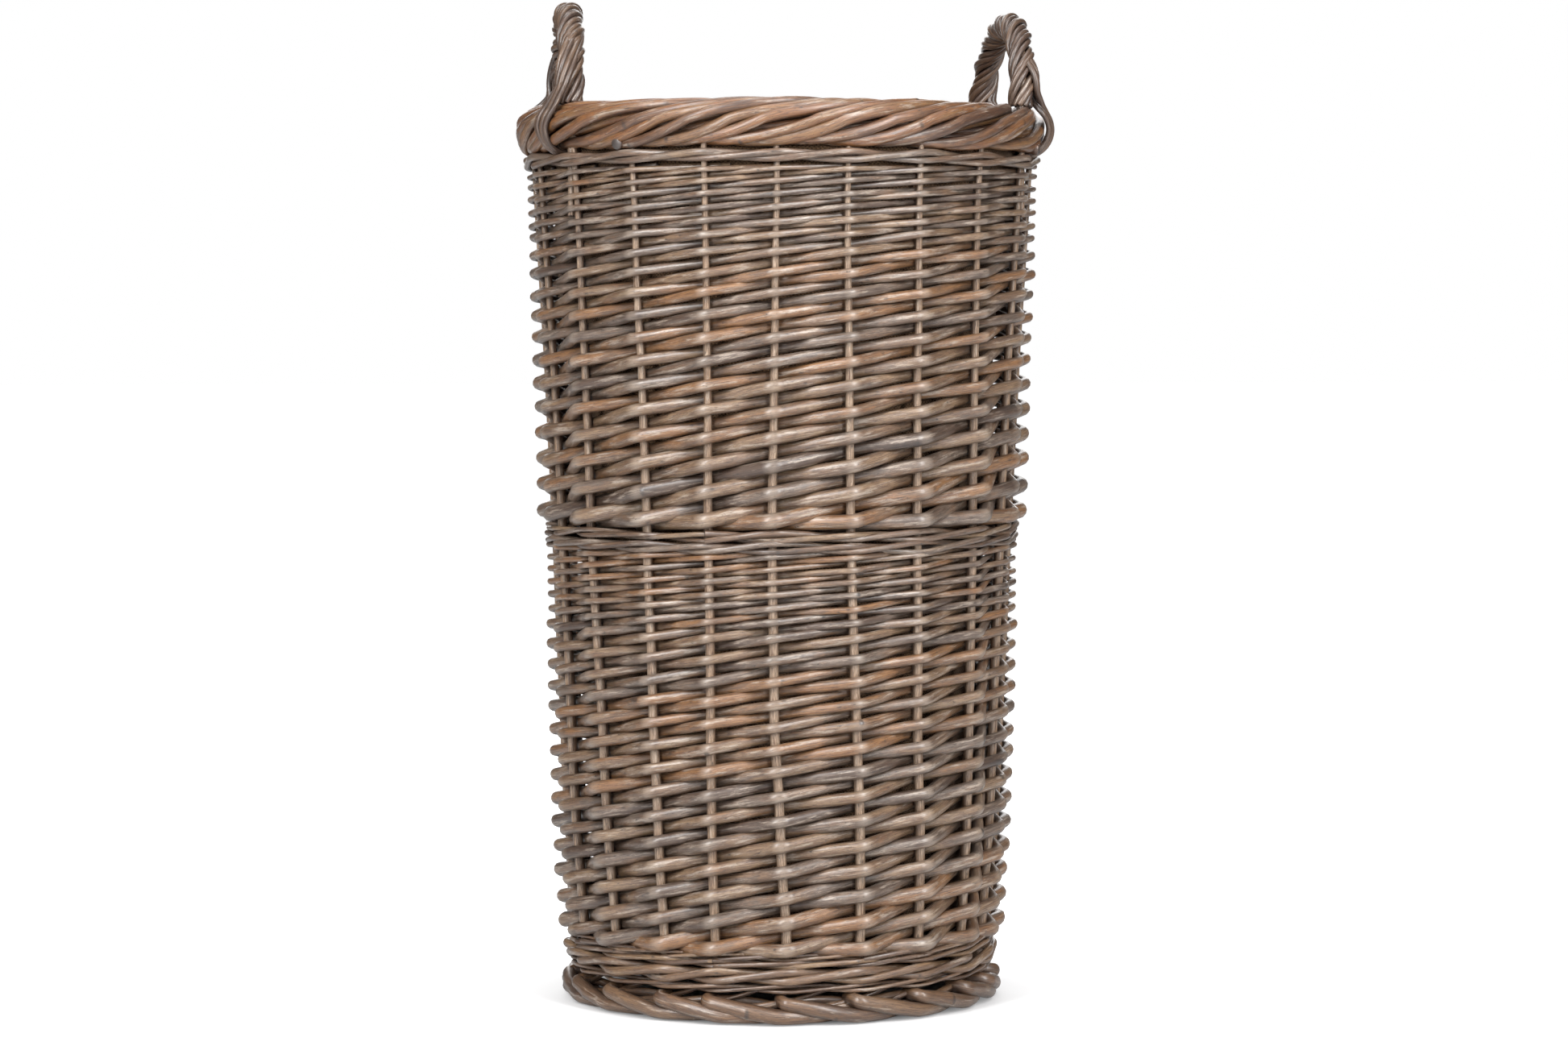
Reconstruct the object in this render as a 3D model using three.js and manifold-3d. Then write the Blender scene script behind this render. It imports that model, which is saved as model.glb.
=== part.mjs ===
// A tall round log basket of woven willow: a stick-and-stake base, twenty uprights, two tall bands
// of slanting weave between three narrow wales, a rolled border at the mouth and another at the foot,
// a hessian lining, and two rigid handles of twisted rods. Nothing on it moves.
// Millimetres, +Z up. The origin is on the floor at the axis, and the handles stand at +X and -X.

import * as THREE from 'three';
import { mergeVertices } from 'three/addons/utils/BufferGeometryUtils.js';
import Module from 'manifold-3d';

const wasm = await Module();
wasm.setup();

// ---- driving dimensions ----
const CLEARANCE = 0.3; // between pieces that touch
const STAKE_COUNT = 20;
const STAKE_STEP = (2 * Math.PI) / STAKE_COUNT;
const RING_SEGMENTS = 2 * STAKE_COUNT;

// The wall leans outwards, more at the foot and the mouth than between.
// These are heights and radii on the stakes' centre line, with straight stretches between them.
const WALL_PROFILE = [
  [0, 149.8],
  [60, 155.6],
  [140, 161.6],
  [355, 170.2],
  [480, 176.6],
  [660, 188.2],
];

// Levels of the bands, from the floor to the mouth.
const FOOT_TOP = 22.4;
const UPSETT_TOP = 50.2;
const LOWER_RAND_TOP = 342.4;
const WAIST_TOP = 360.4;
const UPPER_RAND_TOP = 619.4;
const TOP_WALE_TOP = 631;
const BORDER_BOTTOM = 633;
const BORDER_TOP = 670;
const HANDLE_TOP = 745;

// Half thickness of the wall to each side of the stakes' centre line.
const THICK_BUTTS = 14;
const THIN_TIPS = 7;
const WALE_HALF = 9.5;
const UPSETT_HALF = 13.6;

const STAKE_BUTT_RADIUS = 3.9;
const STAKE_TIP_RADIUS = 2.2;
const STAKE_BEND_RADIUS = 14;
const STAKE_BEND_STEPS = 4;
const STAKE_INNER_END = 112; // how near the axis the butt reaches inside the base
const STAKE_TOP = 646;
const STAKE_SIDES = 6;

const BASE_LEVEL = 32; // centre of the base
const BASE_HALF = 7;
const BASE_RADIUS = 138.4;
const BASE_HUB_RADIUS = 24; // the weaving starts here, round the crossed sticks
const STICK_RADIUS = 5.5;
const THREADED_STICK_RADIUS = 3.2; // shaved thin where they pass through the slit ones
const STICK_PITCH = 11.6;
const STICK_REACH = 137.4;
const STICK_FAN_SOFTNESS = 0.12; // share of the fanned length over which it leaves the straight

const FOOT_INNER = 143;
const FOOT_OUTER = 164.5;
const FOOT_ROUNDING = 6;

const BORDER_RADIUS = 180; // centre of its section
const BORDER_HALF_WIDTH = 20;
const BORDER_SIDES = 10;

const LINING_THICKNESS = 1.2;
const LINING_BOTTOM = 39.6;
const LINING_BOTTOM_RADIUS = 135.4;
const LINING_LEAN = 0.0625;
const LINING_TOP = 632.4;
const LINING_CORNER = 8;

const HANDLE_HALF_ANGLE = THREE.MathUtils.degToRad(24.4); // from the handle's middle to a leg
const HANDLE_LEG_BOTTOM = 585;
const HANDLE_ARCH_BOTTOM = 668;
const HANDLE_RADIUS = 183.5; // from the basket's axis to a leg
const HANDLE_LEAN_IN = 3; // the arch's top stands this far inside the chord of its legs
const BOW_RADIUS = 3.1;
const ROPE_RADIUS = 9.6;
const ROPE_SLACK = 0.4; // between the bow and the rods twisted round it
const LASHING_RADIUS = 4;
const LASHING_DRIFT = THREE.MathUtils.degToRad(6); // it slants towards the handle's middle

// ---- materials ----
function willow(color, roughness) {
  return new THREE.MeshStandardMaterial({ color, roughness, metalness: 0 });
}

const STAKE_WILLOW = willow(0xb79a76, 0.5);
const WEAVER_WILLOW = willow(0x8f7660, 0.5);
const WALE_WILLOW = willow(0x83705f, 0.5);
const BORDER_WILLOW = willow(0x9a754f, 0.45);
const HANDLE_WILLOW = willow(0x7c6652, 0.5);
const HESSIAN = willow(0x6b543b, 0.95);

// ---- solids ----
function solidOf(geometry) {
  const bare = geometry.clone();
  bare.deleteAttribute('normal');
  bare.deleteAttribute('uv');
  const merged = mergeVertices(bare, 1e-4);
  const vertProperties = new Float32Array(merged.attributes.position.array);
  const triVerts = new Uint32Array(merged.index.array);
  return new wasm.Manifold(new wasm.Mesh({ numProp: 3, vertProperties, triVerts }));
}

function geometryOf(solid) {
  const mesh = solid.getMesh();
  const geometry = new THREE.BufferGeometry();
  geometry.setAttribute('position', new THREE.BufferAttribute(new Float32Array(mesh.vertProperties), 3));
  geometry.setIndex(new THREE.BufferAttribute(new Uint32Array(mesh.triVerts), 1));
  geometry.computeVertexNormals();
  return geometry;
}

function cutAway(geometry, cutters) {
  const rest = cutters.reduce((solid, cutter) => solid.subtract(solidOf(cutter)), solidOf(geometry));
  return geometryOf(rest);
}

// A ring about the Z axis from its outline of [radius, height] points, anticlockwise from the outside.
function ring(outline) {
  const points = outline.map(([radius, height]) => new THREE.Vector2(radius, height));
  points.push(points[0].clone());
  return new THREE.LatheGeometry(points, RING_SEGMENTS).rotateX(Math.PI / 2);
}

function circle(radius, sides) {
  const points = [];
  for (let k = 0; k < sides; k++) {
    const turn = (2 * Math.PI * k) / sides;
    points.push(new THREE.Vector2(radius * Math.cos(turn), radius * Math.sin(turn)));
  }
  return new THREE.Shape(points);
}

function tube(path, radius, steps, sides) {
  const options = { steps, extrudePath: path, bevelEnabled: false };
  return new THREE.ExtrudeGeometry(circle(radius, sides), options);
}

function wallRadius(z) {
  const next = Math.max(1, WALL_PROFILE.findIndex(([height]) => height >= z));
  const [[low, lowRadius], [high, highRadius]] = WALL_PROFILE.slice(next - 1, next + 1);
  return THREE.MathUtils.mapLinear(z, low, high, lowRadius, highRadius);
}

// The wall's angle above the horizontal, averaged over the two stretches where they meet.
function wallRise(z) {
  return Math.PI / 2 - Math.atan((wallRadius(z + 1) - wallRadius(z - 1)) / 2);
}

// Two levels, and the profile's own levels between them.
function wallHeights(bottom, top) {
  const between = WALL_PROFILE.map(([height]) => height).filter((z) => z > bottom && z < top);
  return [bottom, ...between, top];
}

// ---- stakes ----
// The centre line in the (radius, height) plane: flat in the base, a tight bend, then up the wall.
function stakeStations() {
  const turn = wallRise(BASE_LEVEL);
  const corner = wallRadius(BASE_LEVEL);
  const bendStart = corner - STAKE_BEND_RADIUS * Math.tan(turn / 2);
  const stations = [{ radius: STAKE_INNER_END, height: BASE_LEVEL, rise: 0 }];
  for (let k = 0; k <= STAKE_BEND_STEPS; k++) {
    const rise = (turn * k) / STAKE_BEND_STEPS;
    stations.push({
      radius: bendStart + STAKE_BEND_RADIUS * Math.sin(rise),
      height: BASE_LEVEL + STAKE_BEND_RADIUS * (1 - Math.cos(rise)),
      rise,
    });
  }
  for (const height of wallHeights(BASE_LEVEL, STAKE_TOP).slice(1)) {
    stations.push({ radius: wallRadius(height), height, rise: wallRise(height) });
  }
  return stations;
}

// A unit cylinder whose rings are moved to the stations and scaled to the stake's taper.
function stakeGeometry(extra = 0) {
  const stations = stakeStations();
  const last = stations.length - 1;
  const geometry = new THREE.CylinderGeometry(1, 1, 1, STAKE_SIDES, last);
  const position = geometry.attributes.position;
  for (let k = 0; k < position.count; k++) {
    const station = stations[Math.round((position.getY(k) + 0.5) * last)];
    const up = (station.height - BASE_LEVEL) / (STAKE_TOP - BASE_LEVEL);
    const thickness = THREE.MathUtils.lerp(STAKE_BUTT_RADIUS, STAKE_TIP_RADIUS, up) + extra;
    const across = thickness * position.getX(k);
    const outward = thickness * position.getZ(k);
    position.setXYZ(
      k,
      station.radius + outward * Math.sin(station.rise),
      across,
      station.height - outward * Math.cos(station.rise),
    );
  }
  geometry.computeVertexNormals();
  return geometry;
}

function stakeAngle(k) {
  return (k + 0.5) * STAKE_STEP;
}

const stakeCutters = [];
for (let k = 0; k < STAKE_COUNT; k++) {
  stakeCutters.push(stakeGeometry(CLEARANCE).rotateZ(stakeAngle(k)));
}

// ---- base ----
// A stick runs straight through the hub and fans out to its two ends on the rim of the base.
class StickLine extends THREE.Curve {
  constructor(offset, direction, fan) {
    super();
    this.offset = offset;
    this.direction = direction;
    this.endAlong = STICK_REACH * Math.cos(fan);
    this.endAside = STICK_REACH * Math.sin(fan);
  }

  getPoint(t) {
    const along = THREE.MathUtils.lerp(-this.endAlong, this.endAlong, t);
    const past = Math.max(0, (Math.abs(along) - BASE_HUB_RADIUS) / (this.endAlong - BASE_HUB_RADIUS));
    const fanned = ((1 + STICK_FAN_SOFTNESS) * past * past) / (past + STICK_FAN_SOFTNESS);
    const aside = THREE.MathUtils.lerp(this.offset, this.endAside, fanned);
    const axis = new THREE.Vector3(0, 0, 1);
    return new THREE.Vector3(along, aside, BASE_LEVEL).applyAxisAngle(axis, this.direction);
  }
}

const STICK_STEPS = 10;
const STICK_SIDES = 6;
const STICK_FAN = (2 * Math.PI) / 10; // ten ends, evenly spaced

function slitSticks(extra = 0) {
  return [-1, 0, 1].map((k) =>
    tube(new StickLine(k * STICK_PITCH, 0, k * STICK_FAN), STICK_RADIUS + extra, STICK_STEPS, STICK_SIDES));
}

function threadedSticks(extra = 0) {
  return [-0.5, 0.5].map((k) =>
    tube(new StickLine(k * STICK_PITCH, Math.PI / 2, k * STICK_FAN), THREADED_STICK_RADIUS + extra,
      STICK_STEPS, STICK_SIDES));
}

function baseWeave() {
  const disc = ring([
    [BASE_RADIUS, BASE_LEVEL - BASE_HALF],
    [BASE_RADIUS, BASE_LEVEL + BASE_HALF],
    [BASE_HUB_RADIUS, BASE_LEVEL + BASE_HALF],
    [BASE_HUB_RADIUS, BASE_LEVEL - BASE_HALF],
  ]);
  return cutAway(disc, [...slitSticks(CLEARANCE), ...threadedSticks(CLEARANCE), ...stakeCutters]);
}

// ---- wall ----
// A band of weave between two levels, with its own half thickness at the bottom and at the top.
function band(bottom, top, bottomHalf, topHalf) {
  const side = (outwards) => wallHeights(bottom, top).map((height) => {
    const half = THREE.MathUtils.mapLinear(height, bottom, top, bottomHalf, topHalf);
    return [wallRadius(height) + outwards * half, height];
  });
  return ring([...side(1), ...side(-1).reverse()]);
}

function upsettWale() {
  const bottom = FOOT_TOP + CLEARANCE;
  const inner = BASE_RADIUS + CLEARANCE;
  return ring([
    [wallRadius(bottom) + UPSETT_HALF, bottom],
    [wallRadius(UPSETT_TOP) + UPSETT_HALF, UPSETT_TOP],
    [inner, UPSETT_TOP],
    [inner, bottom],
  ]);
}

function footBorder() {
  return ring([
    [FOOT_OUTER - FOOT_ROUNDING, 0],
    [FOOT_OUTER, FOOT_ROUNDING],
    [FOOT_OUTER, FOOT_TOP - FOOT_ROUNDING],
    [FOOT_OUTER - FOOT_ROUNDING / 2, FOOT_TOP],
    [FOOT_INNER, FOOT_TOP],
    [FOOT_INNER, 0],
  ]);
}

function rimBorder() {
  const outline = [];
  const halfHeight = (BORDER_TOP - BORDER_BOTTOM) / 2;
  for (let k = 0; k < BORDER_SIDES; k++) {
    const turn = (2 * Math.PI * k) / BORDER_SIDES;
    const height = BORDER_BOTTOM + halfHeight * (1 + Math.sin(turn));
    outline.push([BORDER_RADIUS + BORDER_HALF_WIDTH * Math.cos(turn), height]);
  }
  return ring(outline);
}

// ---- lining ----
// A bag with a flat round bottom and an open top, one thickness of cloth.
function hessianLining() {
  const inner = (radius) => radius - LINING_THICKNESS;
  const topRadius = LINING_BOTTOM_RADIUS + LINING_LEAN * (LINING_TOP - LINING_BOTTOM);
  const outline = [
    [0, LINING_BOTTOM],
    [LINING_BOTTOM_RADIUS - LINING_CORNER, LINING_BOTTOM],
    [LINING_BOTTOM_RADIUS, LINING_BOTTOM + LINING_CORNER],
    [topRadius, LINING_TOP],
    [inner(topRadius), LINING_TOP],
    [inner(LINING_BOTTOM_RADIUS), LINING_BOTTOM + LINING_CORNER],
    [inner(LINING_BOTTOM_RADIUS - LINING_CORNER), LINING_BOTTOM + LINING_THICKNESS],
    [0, LINING_BOTTOM + LINING_THICKNESS],
  ].map(([radius, height]) => new THREE.Vector2(radius, height));
  return new THREE.LatheGeometry(outline, RING_SEGMENTS).rotateX(Math.PI / 2);
}

// ---- handles ----
// The handle's arch: half an ellipse between its legs, leaning a little inwards.
// The angle runs from 0 at the leg on the +Y side to pi at the other leg.
function archPoint(angle) {
  const height = HANDLE_TOP - ROPE_RADIUS - HANDLE_ARCH_BOTTOM;
  return new THREE.Vector3(
    HANDLE_RADIUS * Math.cos(HANDLE_HALF_ANGLE) - HANDLE_LEAN_IN * Math.sin(angle),
    HANDLE_RADIUS * Math.sin(HANDLE_HALF_ANGLE) * Math.cos(angle),
    HANDLE_ARCH_BOTTOM + height * Math.sin(angle),
  );
}

class ArchLine extends THREE.Curve {
  constructor(startAngle) {
    super();
    this.startAngle = startAngle;
  }

  getPoint(t) {
    return archPoint(THREE.MathUtils.lerp(this.startAngle, Math.PI - this.startAngle, t));
  }
}

// The whole bow: a leg down beside the stake at each end, and the arch between them.
class BowLine extends THREE.Curve {
  getPoint(t) {
    const legShare = 0.28;
    if (t < legShare) return this.legPoint(t / legShare, 1);
    if (t > 1 - legShare) return this.legPoint((1 - t) / legShare, -1);
    return archPoint((Math.PI * (t - legShare)) / (1 - 2 * legShare));
  }

  legPoint(share, side) {
    const height = THREE.MathUtils.lerp(HANDLE_LEG_BOTTOM, HANDLE_ARCH_BOTTOM, share);
    const across = side * HANDLE_RADIUS * Math.sin(HANDLE_HALF_ANGLE);
    return new THREE.Vector3(HANDLE_RADIUS * Math.cos(HANDLE_HALF_ANGLE), across, height);
  }
}

const BOW_STEPS = 24;
const BOW_SIDES = 6;
const ROPE_STEPS = 16;
const ROPE_START_ANGLE = 0.045; // just above the border
const LASHING_STEPS = 12;

function handleBow(extra = 0) {
  return tube(new BowLine(), BOW_RADIUS + extra, BOW_STEPS, BOW_SIDES);
}

function handleRope() {
  const solidRope = tube(new ArchLine(ROPE_START_ANGLE), ROPE_RADIUS, ROPE_STEPS, 8);
  return cutAway(solidRope, [handleBow(ROPE_SLACK)]);
}

// A bundle of rod ends round the border at a leg: down its outer face, under it and up inside.
class LashingLine extends THREE.Curve {
  constructor(side) {
    super();
    this.side = side;
  }

  getPoint(t) {
    const clear = LASHING_RADIUS + 2 * CLEARANCE;
    const start = THREE.MathUtils.degToRad(38);
    const end = THREE.MathUtils.degToRad(-218);
    const turn = THREE.MathUtils.lerp(start, end, t);
    const radius = BORDER_RADIUS + (BORDER_HALF_WIDTH + clear) * Math.cos(turn);
    const middle = (BORDER_TOP + BORDER_BOTTOM) / 2;
    const height = middle + ((BORDER_TOP - BORDER_BOTTOM) / 2 + clear) * Math.sin(turn);
    const angle = this.side * (HANDLE_HALF_ANGLE - LASHING_DRIFT * Math.sin(Math.PI * t));
    return new THREE.Vector3(radius * Math.cos(angle), radius * Math.sin(angle), height);
  }
}

function lashing(side, extra = 0) {
  return tube(new LashingLine(side), LASHING_RADIUS + extra, LASHING_STEPS, 8);
}

const HANDLE_TURNS = { right: 0, left: Math.PI };
const bowCutters = Object.values(HANDLE_TURNS).map((turn) => handleBow(CLEARANCE).rotateZ(turn));
const lashingCutters = Object.values(HANDLE_TURNS).flatMap((turn) =>
  [-1, 1].map((side) => lashing(side, CLEARANCE).rotateZ(turn)));

// ---- assembly ----
const basket = new THREE.Group();

function addPiece(name, geometry, material, turn = 0) {
  const mesh = new THREE.Mesh(geometry, material);
  mesh.name = name;
  mesh.rotation.z = turn;
  basket.add(mesh);
}

for (let k = 0; k < STAKE_COUNT; k++) {
  addPiece(`stake_${String(k + 1).padStart(2, '0')}`, stakeGeometry(), STAKE_WILLOW, stakeAngle(k));
}

const throughSticks = threadedSticks(CLEARANCE);
slitSticks().forEach((stick, k) => {
  addPiece(`base_stick_${k + 1}`, cutAway(stick, throughSticks), STAKE_WILLOW);
});
threadedSticks().forEach((stick, k) => {
  addPiece(`base_stick_${k + 4}`, stick, STAKE_WILLOW);
});
addPiece('base_weave', baseWeave(), WEAVER_WILLOW);

const lowerRand = band(UPSETT_TOP + CLEARANCE, LOWER_RAND_TOP, THICK_BUTTS, THIN_TIPS);
const waistWale = band(LOWER_RAND_TOP + CLEARANCE, WAIST_TOP, WALE_HALF, WALE_HALF);
const upperRand = band(WAIST_TOP + CLEARANCE, UPPER_RAND_TOP, THICK_BUTTS, THIN_TIPS);
const topWale = band(UPPER_RAND_TOP + CLEARANCE, TOP_WALE_TOP, WALE_HALF, WALE_HALF);

addPiece('upsett_wale', cutAway(upsettWale(), stakeCutters), WALE_WILLOW);
addPiece('lower_rand', cutAway(lowerRand, stakeCutters), WEAVER_WILLOW);
addPiece('waist_wale', cutAway(waistWale, stakeCutters), WALE_WILLOW);
addPiece('upper_rand', cutAway(upperRand, [...stakeCutters, ...bowCutters]), WEAVER_WILLOW);
addPiece('top_wale', cutAway(topWale, [...stakeCutters, ...bowCutters, ...lashingCutters]), WALE_WILLOW);
addPiece('foot_border', footBorder(), BORDER_WILLOW);
addPiece('rim_border', cutAway(rimBorder(), [...stakeCutters, ...bowCutters]), BORDER_WILLOW);
addPiece('hessian_lining', cutAway(hessianLining(), lashingCutters), HESSIAN);

for (const [place, turn] of Object.entries(HANDLE_TURNS)) {
  addPiece(`${place}_handle_bow`, handleBow(), HANDLE_WILLOW, turn);
  addPiece(`${place}_handle_rope`, handleRope(), HANDLE_WILLOW, turn);
  addPiece(`${place}_lashing_1`, lashing(-1), HANDLE_WILLOW, turn);
  addPiece(`${place}_lashing_2`, lashing(1), HANDLE_WILLOW, turn);
}

export default basket;
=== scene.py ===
"""A tall round log basket of woven willow, rod by rod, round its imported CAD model.

The basket's lengths are in millimetres, and write_mesh turns them into metres. The stage, the camera and the
lights are in metres. Angles run anticlockwise seen from above, from +X. The handles stand at +X and -X.
"""
import math
from functools import cache

import bpy
import numpy as np
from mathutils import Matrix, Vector


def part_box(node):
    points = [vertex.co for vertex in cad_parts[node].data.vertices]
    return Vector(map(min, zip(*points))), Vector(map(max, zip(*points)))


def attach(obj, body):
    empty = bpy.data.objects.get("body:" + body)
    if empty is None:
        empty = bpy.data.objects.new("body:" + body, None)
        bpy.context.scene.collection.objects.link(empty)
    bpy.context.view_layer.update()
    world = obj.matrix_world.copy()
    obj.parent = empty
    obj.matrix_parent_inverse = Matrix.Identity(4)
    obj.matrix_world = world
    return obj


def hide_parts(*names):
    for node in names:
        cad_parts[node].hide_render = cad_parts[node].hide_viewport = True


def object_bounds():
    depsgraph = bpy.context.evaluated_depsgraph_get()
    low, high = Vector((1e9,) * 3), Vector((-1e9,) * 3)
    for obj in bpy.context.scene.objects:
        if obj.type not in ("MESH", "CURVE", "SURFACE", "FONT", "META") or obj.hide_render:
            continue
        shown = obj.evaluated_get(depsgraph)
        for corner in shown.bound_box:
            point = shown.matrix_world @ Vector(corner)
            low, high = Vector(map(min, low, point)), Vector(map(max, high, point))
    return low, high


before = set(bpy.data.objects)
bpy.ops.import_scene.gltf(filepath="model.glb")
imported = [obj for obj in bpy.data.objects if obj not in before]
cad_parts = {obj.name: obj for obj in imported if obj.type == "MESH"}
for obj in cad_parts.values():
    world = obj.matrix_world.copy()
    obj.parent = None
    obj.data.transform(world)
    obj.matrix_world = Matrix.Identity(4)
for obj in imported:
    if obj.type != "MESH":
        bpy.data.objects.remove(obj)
cad_low, cad_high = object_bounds()

MM = 0.001
TAU = 2 * math.pi


def level(node, end):
    """The lowest (end 0) or highest (end 1) point of a CAD node, in millimetres."""
    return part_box(node)[end].z / MM


# ---- the basket's own dimensions ----
STAKES = 20
STEP = TAU / STAKES
WALL_HEIGHTS = [0, 60, 140, 355, 480, 660]
WALL_RADII = [149.8, 155.6, 161.6, 170.2, 176.6, 188.2]

UPSETT_LOW = level("upsett_wale", 0)
LOWER_LOW, LOWER_HIGH = level("lower_rand", 0), level("lower_rand", 1)
WAIST_LOW = level("waist_wale", 0)
UPPER_LOW, UPPER_HIGH = level("upper_rand", 0), level("upper_rand", 1)
TOP_LOW = level("top_wale", 0)
BORDER_LOW, BORDER_HIGH = level("rim_border", 0), level("rim_border", 1)
BORDER_MIDDLE = 0.5 * (BORDER_LOW + BORDER_HIGH)
BORDER_HALF_HEIGHT = 0.5 * (BORDER_HIGH - BORDER_LOW)
BORDER_HALF_WIDTH = 20.0
BORDER_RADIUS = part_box("rim_border")[1].x / MM - BORDER_HALF_WIDTH
BASE_LEVEL = 0.5 * (level("base_weave", 0) + level("base_weave", 1))
HANDLE_HIGH = cad_high.z / MM


def wall_radius(z):
    """The radius of the stakes' centre line at a height."""
    return np.interp(z, WALL_HEIGHTS, WALL_RADII)


def stake_radius(z):
    """Half the thickness of a stake: nearly even in the lower half, then tapering to the mouth."""
    return np.interp(z, [20, 330, 440, 640], [3.7, 3.55, 3.1, 2.2])


# How far each stake has drifted sideways, in degrees, at these heights: seven listed, the rest at random.
DRIFT_HEIGHTS = [70, 215, 355, 600]
DRIFT = {
    11: [2.5, 1.0, -0.9, 0.2],
    12: [2.8, 1.7, 1.2, 0.8],
    13: [0.0, -0.1, 0.1, 0.8],
    14: [1.2, -1.8, -2.3, -1.1],
    15: [3.6, 1.2, -1.1, -3.2],
    16: [4.0, 0.9, -0.9, -3.6],
    17: [4.4, 2.8, 1.0, -3.4],
}


def drift(column):
    """One stake's drift at each of those heights, in degrees."""
    rng = np.random.default_rng([5, column])
    foot, mouth = rng.normal(1.6, 0.8), rng.normal(-1.2, 0.8)
    return DRIFT.get(column, np.linspace(foot, mouth, len(DRIFT_HEIGHTS)))


DRIFTS = np.radians([drift(column) for column in range(STAKES)])


def stake_angle(column, z):
    """The angle of each numbered stake at each height z; columns may run past the last stake."""
    column, z = np.broadcast_arrays(np.asarray(column), np.asarray(z, float))
    places = zip(column.ravel(), z.ravel())
    shifts = [np.interp(height, DRIFT_HEIGHTS, DRIFTS[number % STAKES]) for number, height in places]
    return (column + 0.5) * STEP + np.reshape(shifts, column.shape)


def on_cylinder(angle, radius, z):
    """Points round the basket's axis, one for each angle."""
    return np.stack([radius * np.cos(angle), radius * np.sin(angle), z + 0 * angle], axis=-1)


# ---- rods ----
def smooth_noise(rng, along, shortest, longest, waves=5):
    """A sum of sines of random wavelengths and phases along a rod, about -1 to 1."""
    total = np.zeros(len(along))
    for _ in range(waves):
        wavelength = rng.uniform(shortest, longest)
        total += np.sin(TAU * (along / wavelength + rng.uniform())) / waves
    return total * 1.6


def rounded_path(corners, reach, steps=6):
    """Straight stretches between corners, each corner rounded by a parabola that starts reach before it."""
    corners = np.asarray(corners, float)
    reach = np.broadcast_to(reach, len(corners))
    pieces = [corners[:1]]
    share = np.linspace(0, 1, steps + 1)[:, None]
    for k in range(1, len(corners) - 1):
        before, corner, after = corners[k - 1], corners[k], corners[k + 1]
        back = np.linalg.norm(before - corner)
        forth = np.linalg.norm(after - corner)
        start = corner + (before - corner) * min(reach[k] / back, 0.48)
        end = corner + (after - corner) * min(reach[k] / forth, 0.48)
        pieces.append((1 - share) ** 2 * start + 2 * share * (1 - share) * corner + share**2 * end)
    pieces.append(corners[-1:])
    return np.concatenate(pieces)


def distances(path):
    """How far along a polyline each of its points lies."""
    gaps = np.linalg.norm(np.diff(path, axis=0), axis=1)
    return np.concatenate([[0], np.cumsum(gaps)])


def resample(path, spacing):
    """Points about spacing apart along a polyline, with its two ends kept."""
    along = distances(path)
    count = max(2, int(round(along[-1] / spacing)) + 1)
    wanted = np.linspace(0, along[-1], count)
    return np.stack([np.interp(wanted, along, path[:, k]) for k in range(3)], axis=1)


def frames_along(path):
    """Unit tangents and two normals at each point, carried along without twisting."""
    tangents = np.gradient(path, axis=0)
    tangents /= np.linalg.norm(tangents, axis=1)[:, None]
    helper = np.array([0.0, 0.0, 1.0])
    if abs(tangents[0] @ helper) > 0.9:
        helper = np.array([1.0, 0.0, 0.0])
    normal = np.cross(tangents[0], helper)
    normal /= np.linalg.norm(normal)
    normals = [normal]
    for tangent in tangents[1:]:
        normal = normal - tangent * (normal @ tangent)
        normal = normal / np.linalg.norm(normal)
        normals.append(normal)
    normals = np.array(normals)
    return tangents, normals, np.cross(tangents, normals)


def write_mesh(name, vertices, faces, attributes):
    """A smooth mesh object from millimetre vertices, with one float or vector attribute for each entry."""
    mesh = bpy.data.meshes.new(name)
    mesh.from_pydata((vertices * MM).tolist(), [], faces)
    for key, values in attributes.items():
        kind = "FLOAT_VECTOR" if values.ndim == 2 else "FLOAT"
        layer = mesh.attributes.new(key, kind, "POINT")
        field = "vector" if values.ndim == 2 else "value"
        layer.data.foreach_set(field, values.astype(np.float32).ravel())
    mesh.polygons.foreach_set("use_smooth", [True] * len(mesh.polygons))
    mesh.update()
    piece = bpy.data.objects.new(name, mesh)
    bpy.context.scene.collection.objects.link(piece)
    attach(piece, "root")
    return piece


def finish_piece(piece, material, replaced):
    """Give a piece its material, which takes its first slot, and hide the CAD nodes that it replaces."""
    piece.data.materials.append(material)
    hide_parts(*replaced)


@cache
def tube_faces(rings, sides):
    """Quads between neighbouring rings, and a fan at each end round the two last vertices."""
    faces = []
    for ring in range(rings - 1):
        for side in range(sides):
            nxt = (side + 1) % sides
            low, high = ring * sides, (ring + 1) * sides
            faces.append((low + side, low + nxt, high + nxt, high + side))
    first, last, top = rings * sides, rings * sides + 1, (rings - 1) * sides
    for side in range(sides):
        nxt = (side + 1) % sides
        faces.append((first, nxt, side))
        faces.append((last, top + side, top + nxt))
    return faces


def away_from(path, anchors):
    """Unit vectors to each point of a path from the nearest of the anchor points."""
    gaps = np.linalg.norm(path[:, None, :] - anchors[None, :, :], axis=2)
    outward = path - anchors[np.argmin(gaps, axis=1)]
    return outward / np.linalg.norm(outward, axis=1)[:, None]


# A bud's length along the rod, that of the knot round it, and the turn in radians from one bud to the next.
BUD_LENGTH = 1.7
KNOT_LENGTH = 2.2
BUD_TURN = 2.4
# How far a cut end stands out and how wide it is, as shares of the radius.
CUT_DEPTH = 0.16
CUT_WIDTH = 0.86


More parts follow.
